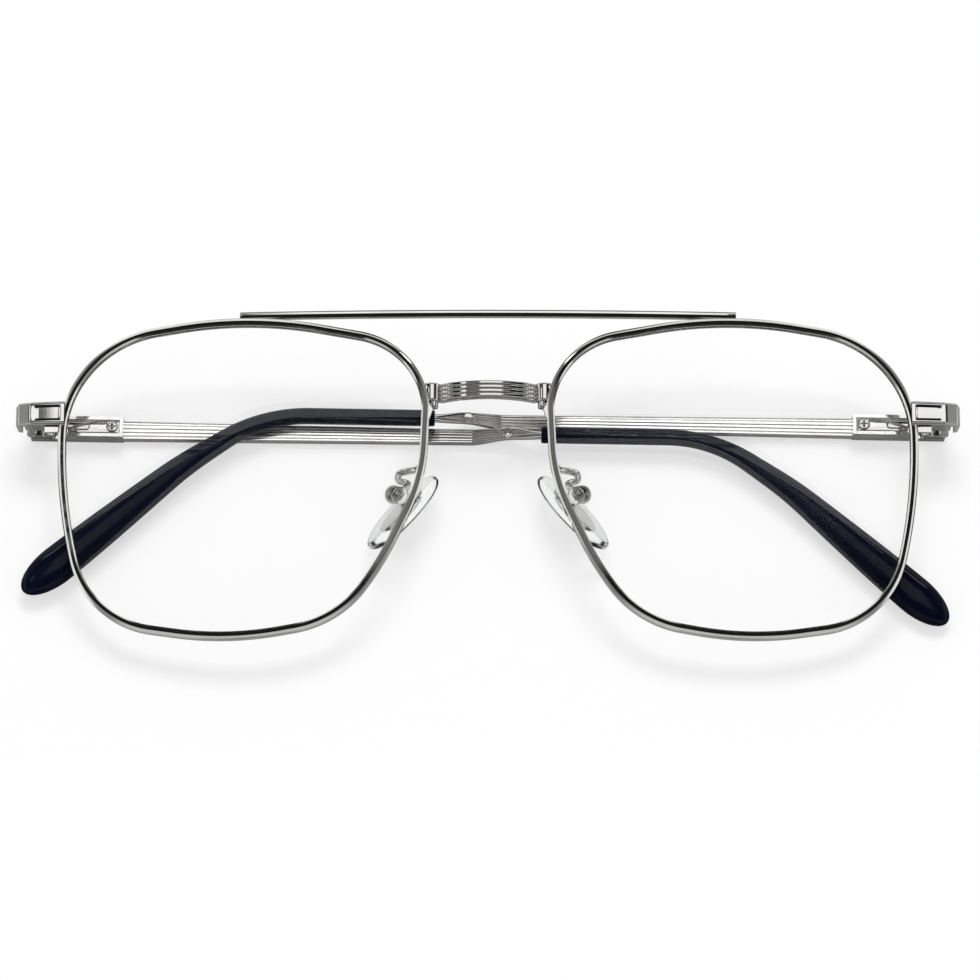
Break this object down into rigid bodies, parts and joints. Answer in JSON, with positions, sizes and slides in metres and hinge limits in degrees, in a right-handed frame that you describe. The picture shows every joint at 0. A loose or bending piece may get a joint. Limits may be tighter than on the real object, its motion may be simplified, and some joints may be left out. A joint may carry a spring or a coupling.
{
  "type": "eyeglass frame",
  "caption": "Metal eyeglasses with a straight top bar over a fluted bridge, clear lenses, clear nose pads, fluted spring-hinged temples with dark tips, lying folded.",
  "frame": {"origin": "centre of the bounding box, at the height of the surface that it lies on", "axes": "+X along the front towards the wearer's left temple, +Y towards the brow, +Z out of the lenses and up from the table; the folded temples lie underneath"},
  "size_m": [0.1432, 0.0506, 0.0139],
  "materials": {
    "polished_steel": "polished silver metal",
    "fluted_steel": "satin grooved silver metal",
    "spring_steel": "plain spring steel",
    "screw_steel": "polished screws",
    "clear_lens": "clear uncoated demonstration lens",
    "clear_silicone": "clear soft silicone",
    "navy_acetate": "glossy dark navy plastic"
  },
  "bodies": {
    "front": {"top_bar": "polished_steel", "bridge": "fluted_steel", "rim_left": "polished_steel", "lens_left": "clear_lens", "bridge_post_left": "polished_steel", "end_piece_left": "polished_steel", "closing_block_upper_left": "polished_steel", "closing_block_lower_left": "polished_steel", "closing_screw_left": "screw_steel", "hinge_fork_left": "polished_steel", "hinge_screw_left": "screw_steel", "pad_arm_left": "polished_steel", "pad_box_left": "polished_steel", "pad_screw_left": "screw_steel", "rim_right": "polished_steel", "lens_right": "clear_lens", "bridge_post_right": "polished_steel", "end_piece_right": "polished_steel", "closing_block_upper_right": "polished_steel", "closing_block_lower_right": "polished_steel", "closing_screw_right": "screw_steel", "hinge_fork_right": "polished_steel", "hinge_screw_right": "screw_steel", "pad_arm_right": "polished_steel", "pad_box_right": "polished_steel", "pad_screw_right": "screw_steel"},
    "nose_pad_left": {"nose_pad_left": "clear_silicone", "pad_core_left": "polished_steel"},
    "hinge_slider_left": {"hinge_slider_left": "polished_steel"},
    "temple_left": {"temple_housing_left": "polished_steel", "hinge_spring_left": "spring_steel", "slider_cover_left": "polished_steel", "cover_screw_left": "screw_steel", "temple_bar_left": "fluted_steel", "temple_rivet_left": "polished_steel", "temple_tip_left": "navy_acetate"},
    "nose_pad_right": {"nose_pad_right": "clear_silicone", "pad_core_right": "polished_steel"},
    "hinge_slider_right": {"hinge_slider_right": "polished_steel"},
    "temple_right": {"temple_housing_right": "polished_steel", "hinge_spring_right": "spring_steel", "slider_cover_right": "polished_steel", "cover_screw_right": "screw_steel", "temple_bar_right": "fluted_steel", "temple_rivet_right": "polished_steel", "temple_tip_right": "navy_acetate"}
  },
  "joints": [
    {"name": "temple_fold_left", "type": "hinge", "parent": "front", "child": "hinge_slider_left", "pos_m": [-0.06836, 0.01038, 0.00348], "axis": [0.0174, 0.9992, 0.0349], "range_deg": [0, 90]},
    {"name": "temple_spring_left", "type": "slide", "parent": "hinge_slider_left", "child": "temple_left", "axis": [0.9998, -0.0173, -0.0022], "range_m": [0, 0.001], "stiffness_N_per_m": 4000, "springref_m": -0.0005, "deforming": ["hinge_spring_left"]},
    {"name": "pad_rock_left", "type": "hinge", "parent": "front", "child": "nose_pad_left", "pos_m": [-0.0138, -0.00211, 0.00572], "axis": [0.5081, -0.3877, 0.7691], "range_deg": [-6, 6]},
    {"name": "temple_fold_right", "type": "hinge", "parent": "front", "child": "hinge_slider_right", "pos_m": [0.06836, 0.01038, 0.00348], "axis": [-0.0174, -0.9992, -0.0349], "range_deg": [0, 90]},
    {"name": "temple_spring_right", "type": "slide", "parent": "hinge_slider_right", "child": "temple_right", "axis": [-0.9998, 0.0173, 0.0022], "range_m": [0, 0.001], "stiffness_N_per_m": 4000, "springref_m": -0.0005, "deforming": ["hinge_spring_right"]},
    {"name": "pad_rock_right", "type": "hinge", "parent": "front", "child": "nose_pad_right", "pos_m": [0.0138, -0.00211, 0.00572], "axis": [-0.5081, -0.3877, 0.7691], "range_deg": [-6, 6]}
  ]
}
